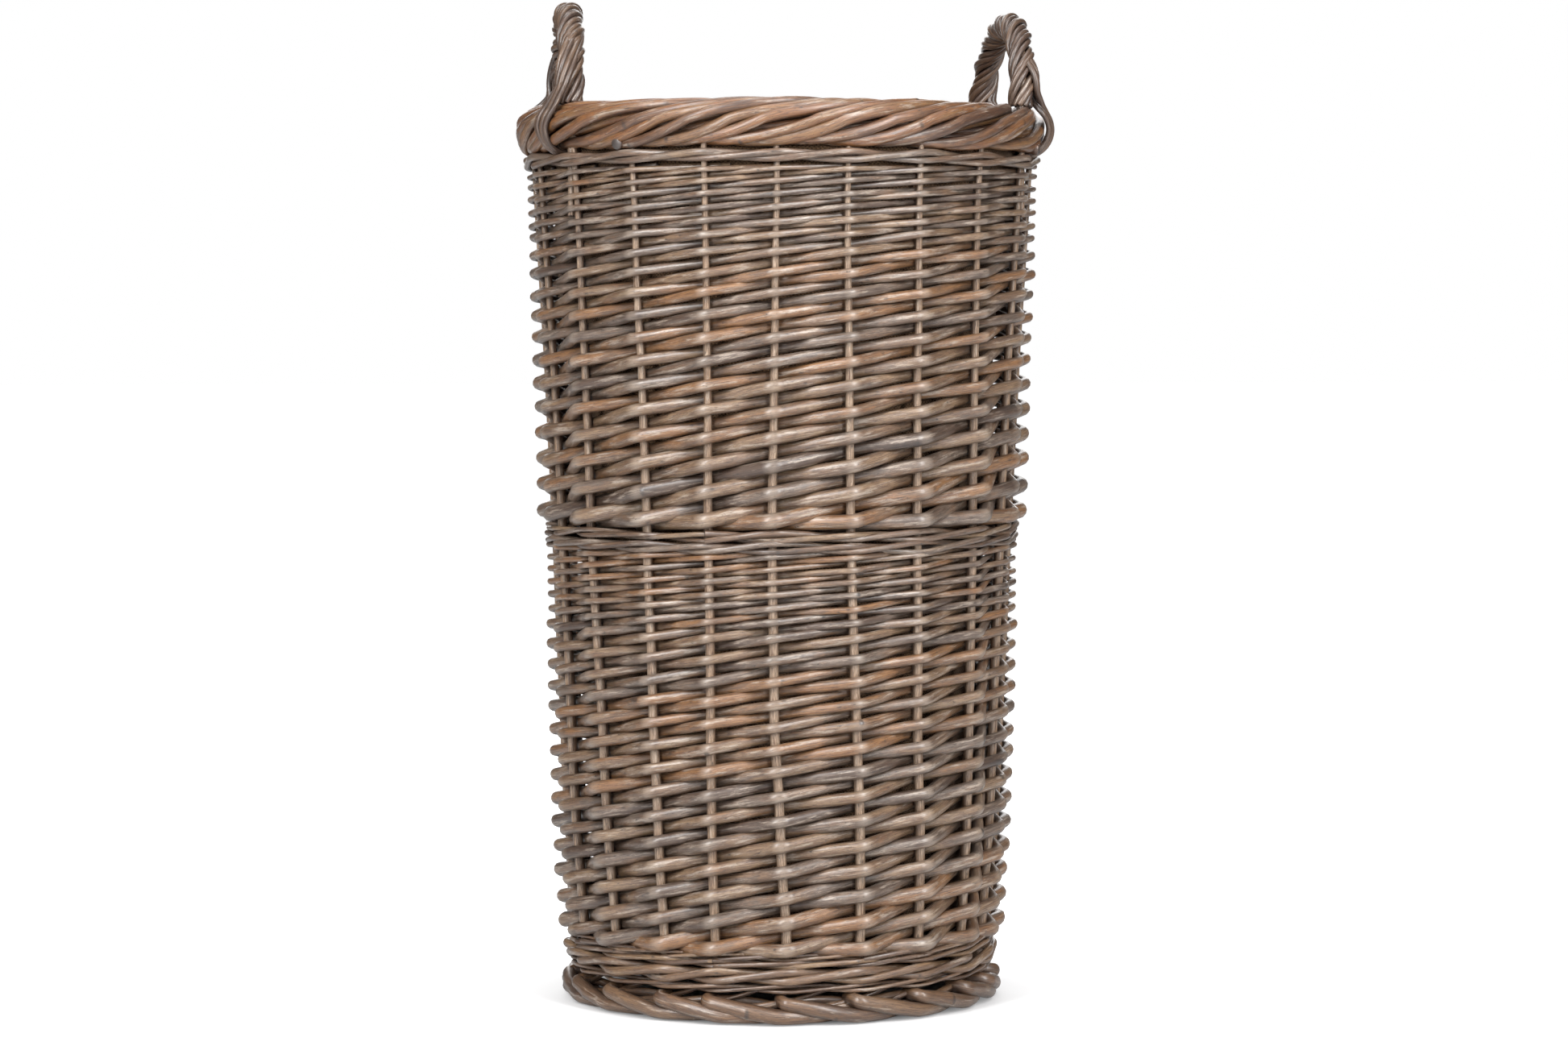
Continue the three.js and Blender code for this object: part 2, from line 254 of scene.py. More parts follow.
def bud_shapes(rng, along, theta, spacing):
    """How strongly each point of a tube is marked and swollen by its buds, about spacing apart."""
    marks = np.zeros((len(along), len(theta)))
    swell = np.zeros((len(along), len(theta)))
    turn = rng.uniform(0, TAU)
    if not spacing:
        return marks, swell
    at = rng.uniform(0.3, 1.0) * spacing
    while at < along[-1]:
        facing = np.clip(np.cos(theta - turn), 0, 1) ** 3
        mark = np.exp(-(((along - at) / BUD_LENGTH) ** 2))
        knot = np.exp(-(((along - at) / KNOT_LENGTH) ** 2))
        marks = np.maximum(marks, mark[:, None] * facing[None, :])
        swell += knot[:, None] * (0.02 + 0.12 * facing[None, :])
        turn += BUD_TURN
        at += spacing * rng.uniform(0.6, 1.5)
    return marks, swell


def rod(name, path, radii, seed, sides=12, wobble=0.0, lumps=0.03, buds=0.0, wear_and_highlight=None, anchors=None):
    """One willow rod along a path: a tapering tube with slight lumps, cut ends, and a bud every buds or so.

    Its attributes steer the material. Its painted shade, darkening the crevices between rods, is strongest on
    the sides that don't face outwards, which means away from the nearest of the anchors, or from the basket's
    axis.
    """
    rng = np.random.default_rng(seed)
    path = np.array(path, float)
    along = distances(path)
    if wobble:
        ease = np.clip(np.minimum(along, along[-1] - along) / 20, 0, 1)
        for axis in range(3):
            path[:, axis] += wobble * ease * smooth_noise(rng, along, 45, 160)
    tangents, normals, binormals = frames_along(path)
    radii = np.broadcast_to(radii, len(path)) * (1 + lumps * smooth_noise(rng, along, 25, 120))
    theta = np.arange(sides) * TAU / sides
    bud, swell = bud_shapes(rng, along, theta, buds)
    oval = 1 + 0.035 * np.cos(2 * (theta - rng.uniform(0, TAU)))
    spread = radii[:, None] * oval[None, :] * (1 + swell)
    across = (np.cos(theta)[None, :] * spread)[..., None] * normals[:, None, :]
    aside = (np.sin(theta)[None, :] * spread)[..., None] * binormals[:, None, :]
    rings = path[:, None, :] + across + aside
    # A chamfered cut at each end: one narrower ring, pushed out by part of the radius.
    ends = []
    for index, way in ((0, -1), (-1, 1)):
        centre = path[index] + way * tangents[index] * radii[index] * CUT_DEPTH
        ends.append(centre + (rings[index] - path[index]) * CUT_WIDTH)
    rings = np.concatenate([ends[0][None], rings, ends[1][None]])
    tips = np.stack([ends[0].mean(0), ends[1].mean(0)])
    vertices = np.concatenate([rings.reshape(-1, 3), tips])

    def to_vertices(values, tip_values):
        """Values for each ring, or each point of it, carried on to the cuts, and then one for each tip."""
        rows = np.broadcast_to(values.reshape(len(path), -1), (len(path), sides))
        return np.concatenate([rows[0], rows.ravel(), rows[-1], tip_values])

    grain = np.stack([
        to_vertices(along, [along[0], along[-1]]),
        to_vertices(radii[:, None] * np.cos(theta), [0, 0]),
        to_vertices(radii[:, None] * np.sin(theta), [0, 0]),
    ], axis=1)
    grain = grain + rng.uniform(0, 900, 3)
    # Painted shade: strongest on the sides that face away from the outside, into the crevices between rods.
    outward = away_from(path, path * np.array([0, 0, 1]) if anchors is None else anchors)
    facing = (np.cos(theta) * (normals * outward).sum(1)[:, None]
              + np.sin(theta) * (binormals * outward).sum(1)[:, None])
    painted_shade = np.clip((0.7 - facing) / 0.9, 0, 1)
    wear_and_highlight = np.zeros(len(path)) if wear_and_highlight is None else wear_and_highlight
    cut = np.zeros(len(vertices))
    cut[:sides] = 1
    cut[-sides - 2:] = 1
    attributes = {
        "grain": grain,
        "tone": np.full(len(vertices), rng.uniform()),
        "bud": to_vertices(bud, [0, 0]),
        "wear_and_highlight": to_vertices(wear_and_highlight, [wear_and_highlight[0], wear_and_highlight[-1]]),
        "cut": cut,
        "painted_shade": to_vertices(painted_shade, [0.5, 0.5]),
    }
    return write_mesh(name, vertices, tube_faces(len(rings), sides), attributes)


# ---- materials ----
class Nodes:
    """A short way to build one material's node tree."""

    def __init__(self, name, roughness=0.5, specular=0.5, coat=0.0, coat_roughness=0.3, sheen=0.0):
        self.material = bpy.data.materials.new(name)
        self.material.use_nodes = True
        self.tree = self.material.node_tree
        self.shader = self.tree.nodes["Principled BSDF"]
        self.shader.inputs["Roughness"].default_value = roughness
        self.shader.inputs["Specular IOR Level"].default_value = specular
        self.shader.inputs["Coat Weight"].default_value = coat
        self.shader.inputs["Coat Roughness"].default_value = coat_roughness
        self.shader.inputs["Sheen Weight"].default_value = sheen

    def add(self, kind, **settings):
        node = self.tree.nodes.new(kind)
        for key, value in settings.items():
            setattr(node, key, value)
        return node

    def put(self, value, socket):
        if isinstance(value, bpy.types.NodeSocket):
            self.tree.links.new(value, socket)
        else:
            socket.default_value = value

    def attribute(self, name, output="Fac"):
        return self.add("ShaderNodeAttribute", attribute_name=name).outputs[output]

    def scaled(self, vector, scale):
        node = self.add("ShaderNodeMapping")
        self.put(vector, node.inputs["Vector"])
        node.inputs["Scale"].default_value = scale
        return node.outputs["Vector"]

    def noise(self, vector, scale, detail=3.0, roughness=0.55):
        node = self.add("ShaderNodeTexNoise")
        self.put(self.scaled(vector, scale), node.inputs["Vector"])
        node.inputs["Scale"].default_value = 1.0
        node.inputs["Detail"].default_value = detail
        node.inputs["Roughness"].default_value = roughness
        return node.outputs["Fac"]

    def cells(self, vector, scale):
        node = self.add("ShaderNodeTexVoronoi")
        self.put(self.scaled(vector, scale), node.inputs["Vector"])
        node.inputs["Scale"].default_value = 1.0
        return node.outputs["Distance"]

    def fit(self, value, low, high, out_low=0.0, out_high=1.0):
        node = self.add("ShaderNodeMapRange")
        for socket, number in zip(node.inputs[:5], (value, low, high, out_low, out_high)):
            self.put(number, socket)
        return node.outputs["Result"]

    def math(self, operation, a, b=0.0):
        node = self.add("ShaderNodeMath", operation=operation)
        self.put(a, node.inputs[0])
        self.put(b, node.inputs[1])
        return node.outputs[0]

    def mix(self, share, a, b, blend="MIX"):
        node = self.add("ShaderNodeMix", data_type="RGBA", blend_type=blend)
        self.put(share, node.inputs["Factor"])
        for socket, colour in zip([s for s in node.inputs if s.type == "RGBA"], (a, b)):
            self.put(colour if isinstance(colour, bpy.types.NodeSocket) else (*colour, 1.0), socket)
        return [s for s in node.outputs if s.type == "RGBA"][0]

    def ramp(self, value, stops):
        node = self.add("ShaderNodeValToRGB")
        self.put(value, node.inputs["Fac"])
        elements = node.color_ramp.elements
        while len(elements) < len(stops):
            elements.new(0.5)
        for element, (place, colour) in zip(elements, stops):
            element.position = place
            element.color = (*colour, 1.0)
        return node.outputs["Color"]

    def finish(self, colour, roughness, height=None, depth=0.0002, strength=1.0):
        self.put(colour, self.shader.inputs["Base Color"])
        self.put(roughness, self.shader.inputs["Roughness"])
        if height is not None:
            bump = self.add("ShaderNodeBump")
            bump.inputs["Strength"].default_value = strength
            bump.inputs["Distance"].default_value = depth
            self.put(height, bump.inputs["Height"])
            self.put(bump.outputs["Normal"], self.shader.inputs["Normal"])
        return self.material


def srgb(red, green, blue):
    """A colour given as sRGB values from 0 to 255, made linear."""
    def linear(value):
        value /= 255
        return value / 12.92 if value <= 0.04045 else ((value + 0.055) / 1.055) ** 2.4
    return tuple(linear(value) for value in (red, green, blue))


BROWN = srgb(132, 102, 77)
DARK_BROWN = srgb(94, 71, 54)
GREY = srgb(128, 111, 97)
TAN = srgb(156, 128, 98)
ORANGE = srgb(158, 114, 72)
WASH = srgb(188, 172, 156)
SHADE = srgb(180, 163, 150)
# The colour of the painted shade in the rods' crevices.
PAINTED_SHADE_COLOUR = srgb(120, 100, 84)
SCAR = srgb(40, 27, 20)
PITH = srgb(62, 54, 50)
STAIN_DEPTH = 0.62


def willow(name, tones, wash, wash_share, shade, roughness=0.5, coat=1.0):
    """Antique-washed, lacquered willow. The grain attribute runs along each rod, in millimetres."""
    nodes = Nodes(name, specular=0.9, coat=coat, coat_roughness=0.31)
    grain = nodes.attribute("grain", "Vector")
    # Each rod has a tone of its own, and drifts from it along its length.
    tone = nodes.attribute("tone")
    patch = nodes.noise(grain, (0.022, 0.12, 0.12), 5.0, 0.65)
    shifted = nodes.math("ADD", tone, nodes.fit(patch, 0.36, 0.64, -0.28, 0.28))
    stops = [(k / (len(tones) - 1), colour) for k, colour in enumerate(tones)]
    colour = nodes.ramp(shifted, stops)
    # Streaks and finer fibres, both along the rod.
    streak = nodes.noise(grain, (0.05, 1.3, 1.3), 6.0, 0.75)
    colour = nodes.mix(nodes.fit(streak, 0.43, 0.62), colour, shade, "MULTIPLY")
    fine = nodes.noise(grain, (0.16, 3.0, 3.0), 3.0, 0.6)
    deeper = tuple(STAIN_DEPTH * part for part in shade)
    colour = nodes.mix(nodes.fit(fine, 0.50, 0.64, 0.0, 0.75), colour, deeper, "MULTIPLY")
    # A pale wash in patches, the rods' own colour, and a paler patch over the crests of the weave that is
    # partly wear and partly a painted highlight.
    wash_noise = nodes.noise(grain, (0.04, 0.35, 0.35), 6.0, 0.72)
    wash_mask = nodes.fit(wash_noise, 0.60 - wash_share, 0.70 - wash_share, 0.0, 0.7)
    rubbed = nodes.fit(wash_noise, 0.3, 0.6, 0.2, 0.8)
    wear_and_highlight = nodes.math("MULTIPLY", nodes.attribute("wear_and_highlight"), rubbed)
    colour = nodes.mix(nodes.math("MAXIMUM", wash_mask, wear_and_highlight), colour, wash)
    # Painted shade on the sides of each rod that don't face outwards, where the crevices between rods fall in
    # shade.
    painted_shade_mask = nodes.math("MULTIPLY", nodes.attribute("painted_shade"), nodes.fit(streak, 0.3, 0.6, 0.6, 0.95))
    colour = nodes.mix(painted_shade_mask, colour, PAINTED_SHADE_COLOUR, "MULTIPLY")
    # Flecks and bud scars.
    cells = nodes.cells(grain, (0.07, 0.15, 0.15))
    fleck_noise = nodes.noise(grain, (0.5, 1.8, 1.8), 2.0)
    fleck = nodes.math("MULTIPLY", nodes.fit(cells, 0.17, 0.06), nodes.fit(fleck_noise, 0.42, 0.55))
    speck = nodes.fit(nodes.noise(grain, (0.5, 1.8, 1.8), 1.0), 0.66, 0.72)
    marks = nodes.math("MAXIMUM", nodes.math("MULTIPLY", fleck, 0.85), nodes.math("MULTIPLY", speck, 0.6))
    bud = nodes.fit(nodes.attribute("bud"), 0.25, 0.7)
    scar = nodes.math("MULTIPLY", bud, nodes.fit(fine, 0.35, 0.55, 0.35, 0.9))
    marks = nodes.math("MAXIMUM", marks, scar)
    colour = nodes.mix(marks, colour, SCAR)
    # Grey pith on the cut ends.
    colour = nodes.mix(nodes.math("MULTIPLY", nodes.attribute("cut"), 0.85), colour, PITH)
    rough = nodes.fit(streak, 0.3, 0.75, roughness - 0.08, roughness + 0.18)
    fibre = nodes.math("ADD", nodes.math("MULTIPLY", streak, 0.7), nodes.math("MULTIPLY", fine, 0.25))
    height = nodes.math("ADD", fibre, nodes.math("MULTIPLY", marks, -0.6))
    return nodes.finish(colour, rough, height, depth=0.0005, strength=0.85)


WEAVER = willow("weaver_willow", [DARK_BROWN, GREY, BROWN, TAN, BROWN, ORANGE], WASH, 0.07, SHADE)
WALE = willow("wale_willow", [DARK_BROWN, BROWN, GREY, TAN], WASH, 0.05, SHADE)
UPSETT = willow("upsett_willow", [srgb(104, 75, 52), BROWN, srgb(140, 108, 79), srgb(164, 132, 96)],
                WASH, 0.05, SHADE)
STAKE = willow("stake_willow", [srgb(186, 153, 122), srgb(208, 180, 152), srgb(194, 161, 129)],
               srgb(216, 196, 174), 0.06, srgb(150, 124, 104))
BORDER = willow("border_willow", [srgb(98, 64, 39), srgb(130, 90, 56), srgb(148, 97, 53), srgb(150, 109, 67),
                                  srgb(142, 103, 66)],
                WASH, 0.05, SHADE, roughness=0.45, coat=0.9)
FOOT = willow("foot_willow", [srgb(98, 70, 48), srgb(134, 99, 67), srgb(115, 84, 56), srgb(140, 108, 77)],
              WASH, 0.04, SHADE)
HANDLE = willow("handle_willow", [srgb(90, 64, 46), srgb(104, 77, 56), srgb(118, 89, 64)], WASH, 0.0, SHADE)


YARN_PITCH = 2.6


def hessian_material():
    """Plain-woven jute: two crossed sets of yarns in the cloth's own coordinates, with slubs and hairs."""
    nodes = Nodes("hessian", roughness=0.9, specular=0.2, sheen=0.15)
    cloth = nodes.attribute("cloth", "Vector")
    split = nodes.add("ShaderNodeSeparateXYZ")
    nodes.put(cloth, split.inputs[0])
    pace = TAU / YARN_PITCH
    warp = nodes.math("SINE", nodes.math("MULTIPLY", split.outputs[0], pace))
    weft = nodes.math("SINE", nodes.math("MULTIPLY", split.outputs[1], pace))
    weave = nodes.fit(nodes.math("MULTIPLY", warp, weft), -1.0, 1.0)
    warp_slub = nodes.noise(cloth, (0.05, 0.9, 1.0), 5.0, 0.7)
    weft_slub = nodes.noise(cloth, (0.9, 0.05, 1.0), 5.0, 0.7)
    slub = nodes.math("ADD", nodes.math("MULTIPLY", warp_slub, 0.5), nodes.math("MULTIPLY", weft_slub, 0.5))
    hair = nodes.noise(cloth, (1.6, 1.6, 1.0), 3.0)
    stops = [(0.35, srgb(92, 70, 52)), (0.5, srgb(124, 97, 72)), (0.65, srgb(156, 126, 98))]
    colour = nodes.ramp(slub, stops)
    colour = nodes.mix(nodes.fit(weave, 0.0, 0.6, 0.75, 0.0), colour, srgb(38, 26, 17))
    colour = nodes.mix(nodes.fit(hair, 0.55, 0.8, 0.0, 0.5), colour, srgb(160, 132, 100))
    height = nodes.math("ADD", weave, nodes.math("MULTIPLY", hair, 0.5))
    return nodes.finish(colour, 0.9, height, depth=0.0006, strength=0.8)


# ---- stakes ----
STAKE_BUTT = 112.0
STAKE_TOP = 645


def build_stakes():
    """Each stake starts inside the base, bends up at its edge and follows the wall into the border."""
    foot_radius = wall_radius(BASE_LEVEL)
    levels = np.array([*WALL_HEIGHTS[1:-1], STAKE_TOP])
    corners = [[STAKE_BUTT, 0, BASE_LEVEL], [foot_radius, 0, BASE_LEVEL]]
    corners += [[wall_radius(z), 0, z] for z in levels]
    side_view = resample(rounded_path(corners, 13, 8), 4.0)
    radius, z = side_view[:, 0], side_view[:, 2]
    for column in range(STAKES):
        name = f"stake_{column + 1:02d}"
        rng = np.random.default_rng([11, column])
        lean = 0.4 * smooth_noise(rng, z, 90, 260)
        path = on_cylinder(stake_angle(column, z) + lean / foot_radius, radius, z)
        piece = rod(name + "_rod", path, stake_radius(z), [12, column], sides=14, lumps=0.02, buds=130)
        finish_piece(piece, STAKE, [name])


# ---- the two slanting bands ----
class Rand:
    """Levels and thicknesses of a band. Each column has one front crossing in each round, at its level."""

    def __init__(self, low, high, rounds, thicknesses):
        self.rounds = rounds
        middle = np.arange(rounds)
        self.thickness = np.interp(middle, *thicknesses)
        steps = self.thickness[:-1] + self.thickness[1:]
        room = high - low - 0.5 * self.thickness[0] - 0.6 * self.thickness[-1]
        rise = np.concatenate([[0], np.cumsum(steps)])
        self.levels = low + 0.5 * self.thickness[0] + rise * room / rise[-1]

    def level(self, at):
        below = self.levels[0] + np.minimum(at, 0) * self.thickness[0] * 0.7
        above = self.levels[-1] + np.maximum(at - self.rounds + 1, 0) * self.thickness[-1] * 1.2
        inside = np.interp(at, np.arange(self.rounds), self.levels)
        return np.where(at < 0, below, np.where(at > self.rounds - 1, above, inside))

    def diameter(self, at):
        return np.interp(at, np.arange(self.rounds), self.thickness)


def weaver(name, band, column, first, last, seed):
    """A rod that starts behind the stake before its column, then goes in front of one and behind the next."""
    rng = np.random.default_rng(seed)
    strokes = np.arange(2 * first - 1, 2 * last)
    at = strokes / 2
    size = band.diameter(at) * rng.uniform(0.96, 1.09) * np.linspace(1.06, 0.92, len(at))
    z = band.level(at) + rng.normal(0, 0.5, len(at))
    front = strokes % 2 == 0
    reach = 4.2 + 0.18 * size
    angle = stake_angle(column + strokes - 2 * first, z)
    apart = stake_radius(z) + 0.5 * size
    slack = np.where(front, 0.17 * reach + 0.2, 0.17 * reach)
    radius = wall_radius(z) + np.where(front, apart + slack, -apart - slack)
    corners = on_cylinder(angle, radius, z)
    lead = corners[0] + 0.32 * (corners[0] - corners[1])
    trail = corners[-1] + 0.30 * (corners[-1] - corners[-2])
    trail[2] = corners[-1][2] + 0.3
    corners = np.concatenate([[lead], corners, [trail]])
    reach = np.concatenate([[0], reach, [0]])
    bend = 7
    path = rounded_path(corners, reach, bend)
    sizes = np.concatenate([size[:1], np.repeat(size, bend + 1), size[-1:]])
    sizes = np.convolve(np.pad(sizes, 4, mode="edge"), np.ones(9) / 9, mode="valid")
    # The paler crest of each front crossing: partly wear, partly a painted highlight.
    crest = (1 - np.abs(np.linspace(-1, 1, bend + 1))) ** 0.9
    wear_and_highlight = np.concatenate([[0], (front[:, None] * 0.6 * crest).ravel(), [0]])
    return rod(name, path, sizes / 2, seed, wobble=0.35, lumps=0.035, buds=75, wear_and_highlight=wear_and_highlight)


def build_rand(label, node, low, high, seed, butts, tips):
    """Twenty thick weavers for the first rounds, then twenty thin ones for the rest.

    butts and tips each give a number of rounds, and the weavers' thickness at the first and the last of them.
    """
    thick_rounds, thick_low, thick_high = butts
    thin_rounds, thin_low, thin_high = tips
    rounds = thick_rounds + thin_rounds
    places = [0, thick_rounds - 1, thick_rounds, rounds - 1]
    band = Rand(low, high, rounds, (places, [thick_low, thick_high, thin_low, thin_high]))
    for column in range(STAKES):
        name = f"{label}_weaver_{column + 1:02d}"
        piece = weaver(name, band, column, 0, thick_rounds, [seed, column])
        finish_piece(piece, WEAVER, [node])
        name = f"{label}_thin_weaver_{column + 1:02d}"
        piece = weaver(name, band, column + 2 * thick_rounds, thick_rounds, rounds, [seed + 1, column])
        finish_piece(piece, WEAVER, [node])


# ---- wales ----
def build_wale_round(label, node, low, diameter, seed, start, material=WALE, rise=1.2, scatter=0.1):
    """Three rods, each in front of two stakes, rising from the first to the second, and behind the third."""
    strokes = np.arange(-2, STAKES + 2)
    for k in range(3):
        rng = np.random.default_rng([seed, k])
        phase = (strokes + k) % 3  # 0 is the first front, 1 the second, 2 behind
        step = np.choose(phase, [0.5 - 0.5 * rise, 0.5 + 0.5 * rise, 0.55]) * diameter
        z = low + 0.5 * diameter + step + rng.normal(0, scatter * diameter, len(strokes))
        size = diameter * rng.uniform(0.88, 1.1) * np.linspace(1.12, 0.85, len(strokes))
        apart = stake_radius(z) + 0.5 * size
        radius = wall_radius(z) + np.where(phase < 2, apart + 0.9, -apart - 0.6)
        radius = radius + np.where(phase == 1, 0.3 * size, 0) + rng.normal(0, 0.2, len(strokes))
        corners = on_cylinder(stake_angle(start + strokes, z), radius, z)
        bend = 7
        path = rounded_path(corners, 11.0, bend)
        sizes = np.concatenate([size[:1], np.repeat(size[1:-1], bend + 1), size[-1:]])
        name = f"{label}_rod_{k + 1}"
        piece = rod(name, path, sizes / 2, [seed, 10 + k], wobble=0.35, lumps=0.05, buds=90)
        finish_piece(piece, material, [node])


def build_wales():
    """The upsett's four rounds, the waist's two, and one under the border.

    Each row gives a round's height above the band's foot, its rods' diameter and the stake it starts at.
    """
    upsett = [(0.1, 3.3, 3), (6.4, 6.2, 8), (18.3, 3.4, 12), (23.4, 3.2, 17)]
    for k, (above, diameter, start) in enumerate(upsett):
        build_wale_round(f"upsett_{k + 1}", "upsett_wale", UPSETT_LOW + above, diameter, 81 + k, start,
                         material=UPSETT, rise=1.4)
    waist = [(-0.8, 4.3, 4), (7.2, 4.2, 15)]
    for k, (above, diameter, start) in enumerate(waist):
        build_wale_round(f"waist_{k + 1}", "waist_wale", WAIST_LOW + above, diameter, 86 + k, start,
                         scatter=0.2)
    build_wale_round("top_wale", "top_wale", TOP_LOW + 1.4, 5.5, 89, 6)


# ---- the rolled border at the mouth ----
def section_circle(radius, height, count=240):
    """Points round the basket through the middle of a rolled border."""
    return on_cylinder(np.arange(count) * TAU / count, radius, height + np.zeros(count))


def rounded_square(value):
    """Squares off a sine or cosine a little, so that a section wound by it is fuller at its corners."""
    return np.sign(value) * np.abs(value) ** 0.85


def wound_rod(name, size, half_width, half_height, turn, start, lay, seed, sag=0.0):
    """A rod wound round the border's section: turn is the angle round it, and lay is turn's pace.

    In the time that the rod goes one radian round the basket, it goes lay radians round the section.
    """
    rng = np.random.default_rng(seed)
    angle = start + (turn - turn[0]) / lay
    degrees = np.degrees(turn)
    across, up = np.cos(turn), np.sin(turn)
    half_width = half_width + 0.6 * smooth_noise(rng, degrees, 60, 160)
    half_height = half_height + 0.6 * smooth_noise(rng, degrees, 60, 160)
    radius = BORDER_RADIUS + half_width * rounded_square(across)
    z = BORDER_MIDDLE + half_height * rounded_square(up)
    z = z + 2 * sag * np.minimum(up, 0) * np.maximum(across, 0)
    path = on_cylinder(angle, radius, z)
    sizes = size * np.linspace(1.06, 0.86, len(path))
    piece = rod(name, path, sizes / 2, [*seed, 1], sides=16, wobble=0.35, lumps=0.04, buds=70,
                anchors=section_circle(BORDER_RADIUS, BORDER_MIDDLE))
    finish_piece(piece, BORDER, ["rim_border"])


OUTER_RODS = 40
CORE_RODS = 20
BUTT_ANGLES = (223.7, 101.0, 338.0)


def build_rim_border():
    """Forty rods that come up under the border between the stakes, wind over its face and end inside it.

    Twenty more lie inside them, where the stakes' own ends turn down, and three thick butts stick out below.
    """
    for k in range(OUTER_RODS):
        rng = np.random.default_rng([41, k])
        size = rng.uniform(7.8, 9.6)
        sunk = rng.choice([0.0, 0.4, 1.2, 2.0])
        turn = np.radians(np.linspace(-118 + rng.uniform(-10, 10), 205, 110))
        lay = 3.5 * rng.uniform(0.92, 1.08)
        start = (k + rng.uniform(-0.16, 0.16)) * TAU / OUTER_RODS
        half_width = BORDER_HALF_WIDTH - 0.4 - size / 2 - sunk
        half_height = BORDER_HALF_HEIGHT - size / 2 - 0.7 * sunk
        wound_rod(f"rim_border_rod_{k + 1:02d}", size, half_width, half_height, turn, start, lay, [42, k],
                  sag=rng.uniform(1.8, 4.8))
    turn = np.radians(np.linspace(-150, 330, 130))
    for k in range(CORE_RODS):
        wound_rod(f"rim_border_core_{k + 1:02d}", 8.4, 6.6, 6.2, turn, k * TAU / CORE_RODS, 4.0, [43, k])
    for k, degrees in enumerate(BUTT_ANGLES):
        radius = np.linspace(168, 195.5, 12)
        path = on_cylinder(math.radians(degrees) + 0 * radius, radius, np.linspace(641, 635.5, 12))
        piece = rod(f"rim_border_butt_{k + 1}", path, 4.2, [44, k], sides=16, lumps=0.03)
        finish_piece(piece, BORDER, ["rim_border"])


# ---- the rolled foot ----
FOOT_MIDDLE = 148.0
FOOT_CORE_RODS = 4
# The corners of a foot rod: stake spaces past its home, radius, height and thickness.
FOOT_CORNERS = np.array([
    (-0.10, 146.0, 17.4, 10.6),
    (-0.08, 155.5, 17.0, 11.2),
    (-0.03, 161.0, 16.0, 11.6),
    (0.5, 161.4, 11.0, 11.2),
    (1.0, 160.6, 6.0, 10.6),
    (1.4, 156.5, 5.4, 9.8),
    (1.9, 150.5, 7.0, 8.0),
    (2.5, 148.5, 11.0, 5.4),
    (3.1, 150.5, 17.5, 4.0),
    (3.55, 153.0, 25.0, 3.0),
])


def build_foot_border():
    """One rod to a stake: out from under the upsett, a tight bend, down to the floor, and in under the next.

    Each rod's thin end comes up again behind the bends three spaces on. Four more rods fill the ring.
    """
    middle = section_circle(FOOT_MIDDLE, 11.0)
    spaces, radius, height, thickness = FOOT_CORNERS.T
    for column in range(STAKES):
        rng = np.random.default_rng([51, column])
        home = stake_angle(column, 20.0) + rng.uniform(-0.012, 0.012)
        points = on_cylinder(home + spaces * STEP, radius, height)
        reach = np.array([0, 1.2, 1.6, 10, 10, 10, 10, 10, 10, 0])
        path = resample(rounded_path(points, reach, 6), 2.5)
        place = np.linspace(0, 1, len(path))
        sizes = np.interp(place, np.linspace(0, 1, len(thickness)), thickness) * rng.uniform(0.92, 1.04)
        path[:, 2] = np.maximum(path[:, 2], 0.56 * sizes + 0.3)
        piece = rod(f"foot_border_rod_{column + 1:02d}", path, sizes / 2, [52, column], sides=16,
                    lumps=0.05, buds=60, anchors=middle)
        finish_piece(piece, FOOT, ["foot_border"])
    turn = np.linspace(0, TAU, 240)
    for k in range(FOOT_CORE_RODS):
        start = k * TAU / FOOT_CORE_RODS
        wind = 7 * turn + start
        path = on_cylinder(turn + start, FOOT_MIDDLE + 3.6 * np.cos(wind), 13.5 + 3.6 * np.sin(wind))
        piece = rod(f"foot_border_core_{k + 1}", path, 3.0, [53, k], sides=8, buds=70, anchors=middle)
        finish_piece(piece, FOOT, ["foot_border"])


# ---- base ----
STICK_REACH = 137.4
STICK_PITCH = 11.6
BASE_HUB = 24.0
STICK_ENDS = 10
BASE_TURNS = 19


def stick_path(offset, fan, direction):
    """A stick straight through the hub, fanning out to its two ends, laid along a direction."""
    along = np.linspace(-STICK_REACH * math.cos(fan), STICK_REACH * math.cos(fan), 90)
    past = np.clip((np.abs(along) - BASE_HUB) / (along[-1] - BASE_HUB), 0, 1)
    fanned = 1.3 * past**2 / (past + 0.3)
    aside = offset + (STICK_REACH * math.sin(fan) - offset) * fanned
    cosine, sine = math.cos(direction), math.sin(direction)
    x = cosine * along - sine * aside
    y = sine * along + cosine * aside
    return np.stack([x, y, BASE_LEVEL + 0 * along], axis=1)


def build_base():
    """Three slit sticks with two thinner ones threaded through them, and thin rods paired round them."""
    layout = [(k, 0.0, 4.6) for k in (-1, 0, 1)] + [(k, math.pi / 2, 3.2) for k in (-0.5, 0.5)]
    for number, (k, direction, radius) in enumerate(layout, 1):
        path = stick_path(k * STICK_PITCH, k * TAU / STICK_ENDS, direction)
        above = path * np.array([1, 1, 0]) + np.array([0, 0, 200.0])
        piece = rod(f"base_stick_{number}_rod", path, radius, [60, number], sides=14, buds=60, anchors=above)
        finish_piece(piece, STAKE, [f"base_stick_{number}"])
    for strand in range(2):
        at = np.arange(BASE_TURNS * STICK_ENDS)
        radius = np.linspace(BASE_HUB + 2, 136, len(at)) + strand * 2.4
        side = np.where((at + strand + at // STICK_ENDS) % 2 == 0, 1, -1)
        corners = on_cylinder(at * TAU / STICK_ENDS, radius, BASE_LEVEL + side * 6.4)
        path = rounded_path(corners, 9.0, 4)
        piece = rod(f"base_weave_rod_{strand + 1}", path, 2.1, [61, strand], sides=8, lumps=0.04, buds=90)
        finish_piece(piece, WEAVER, ["base_weave"])


# ---- handles ----
HANDLE_HALF_ANGLE = math.radians(24.4)
HANDLE_RADIUS = 183.5
ARCH_LOW = 668.0
ROPE_RADIUS = 9.6


